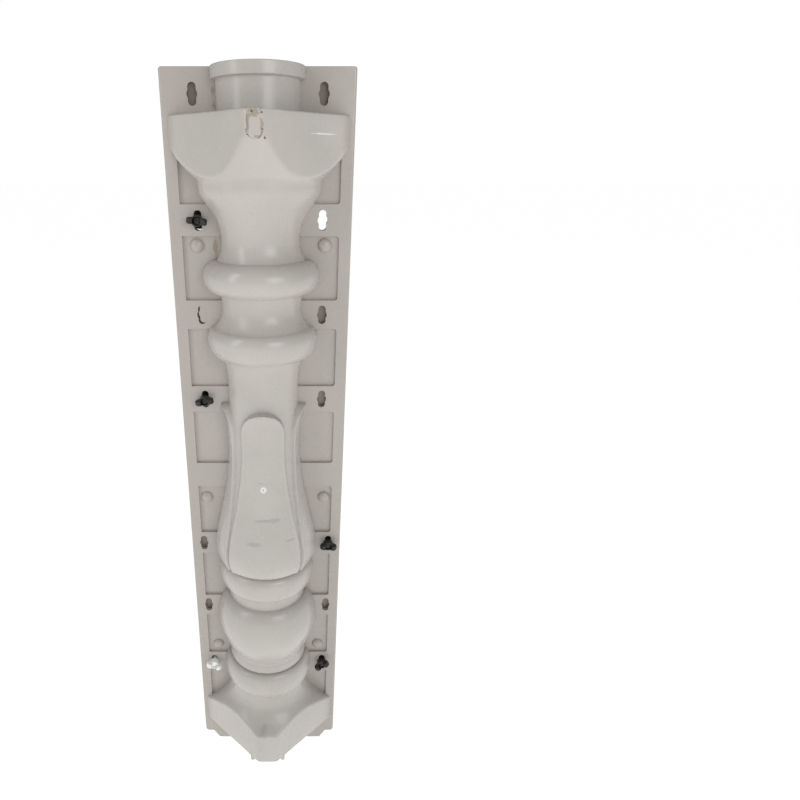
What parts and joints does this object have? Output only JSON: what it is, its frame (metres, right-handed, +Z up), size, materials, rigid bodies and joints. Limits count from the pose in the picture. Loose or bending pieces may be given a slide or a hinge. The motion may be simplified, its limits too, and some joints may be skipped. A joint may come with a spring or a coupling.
{
  "type": "baluster casting mould",
  "caption": "Split plastic mould for casting a tulip baluster: half shells with side flanges, held shut by bolts with wing nuts.",
  "frame": {"origin": "middle of the foot's underside, on the parting plane", "axes": "+Z up along the mould, +X to the viewer's right along the flanges, -Y towards the front half"},
  "size_m": [0.179, 0.1578, 0.8345],
  "materials": {
    "shell_plastic": "soft gloss",
    "black_plastic": "matte",
    "white_plastic": "matte"
  },
  "bodies": {
    "mould": {"front_shell": "shell_plastic", "back_shell": "shell_plastic", "bolt_upper_left": "black_plastic", "bolt_middle_left": "black_plastic", "bolt_middle_right": "black_plastic", "bolt_lower_left": "white_plastic", "bolt_lower_right": "black_plastic"},
    "nut_upper_left": {"wing_nut_upper_left": "black_plastic"},
    "nut_middle_left": {"wing_nut_middle_left": "black_plastic"},
    "nut_middle_right": {"wing_nut_middle_right": "black_plastic"},
    "nut_lower_left": {"wing_nut_lower_left": "white_plastic"},
    "nut_lower_right": {"wing_nut_lower_right": "black_plastic"}
  },
  "joints": [
    {"name": "turn_upper_left", "type": "hinge", "parent": "mould", "child": "nut_upper_left", "pos_m": [-0.061, -0.011, 0.7025], "axis": [0, -1, 0], "continuous": true},
    {"name": "turn_middle_left", "type": "hinge", "parent": "mould", "child": "nut_middle_left", "pos_m": [-0.0635, -0.011, 0.5153], "axis": [0, -1, 0], "continuous": true},
    {"name": "turn_middle_right", "type": "hinge", "parent": "mould", "child": "nut_middle_right", "pos_m": [0.075, -0.011, 0.3281], "axis": [0, -1, 0], "continuous": true},
    {"name": "turn_lower_left", "type": "hinge", "parent": "mould", "child": "nut_lower_left", "pos_m": [-0.071, -0.011, 0.1409], "axis": [0, -1, 0], "continuous": true},
    {"name": "turn_lower_right", "type": "hinge", "parent": "mould", "child": "nut_lower_right", "pos_m": [0.071, -0.011, 0.1409], "axis": [0, -1, 0], "continuous": true}
  ]
}
